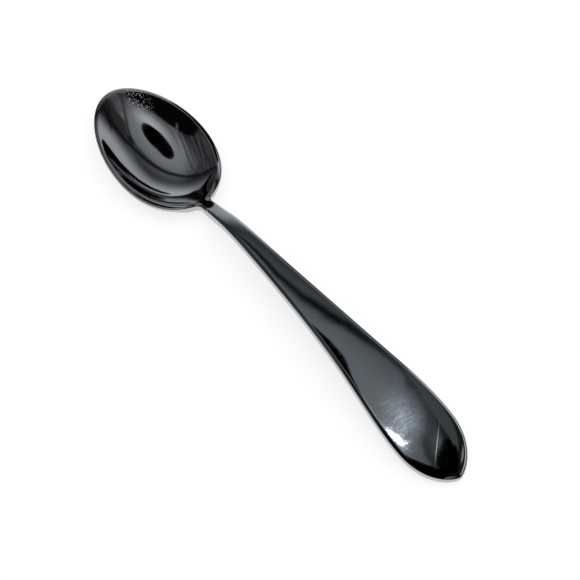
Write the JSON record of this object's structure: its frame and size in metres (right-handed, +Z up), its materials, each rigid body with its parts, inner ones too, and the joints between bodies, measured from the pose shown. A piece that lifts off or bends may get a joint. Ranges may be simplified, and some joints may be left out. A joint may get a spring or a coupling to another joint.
{
  "type": "soup spoon",
  "caption": "One-piece polished steel soup spoon with an egg-shaped bowl, a slim neck and an arched handle that widens to a softly pointed end.",
  "frame": {"origin": "on the table, under the middle of the spoon as it lies at rest", "axes": "+X from the bowl's tip to the handle's end, +Y across the spoon, +Z up out of the bowl"},
  "size_m": [0.185, 0.037, 0.0131],
  "materials": {
    "polished_steel": "bright mirror polish on plain stainless steel, with fine scratches from use"
  },
  "bodies": {
    "root": {"spoon_body": "polished_steel"}
  },
  "joints": []
}
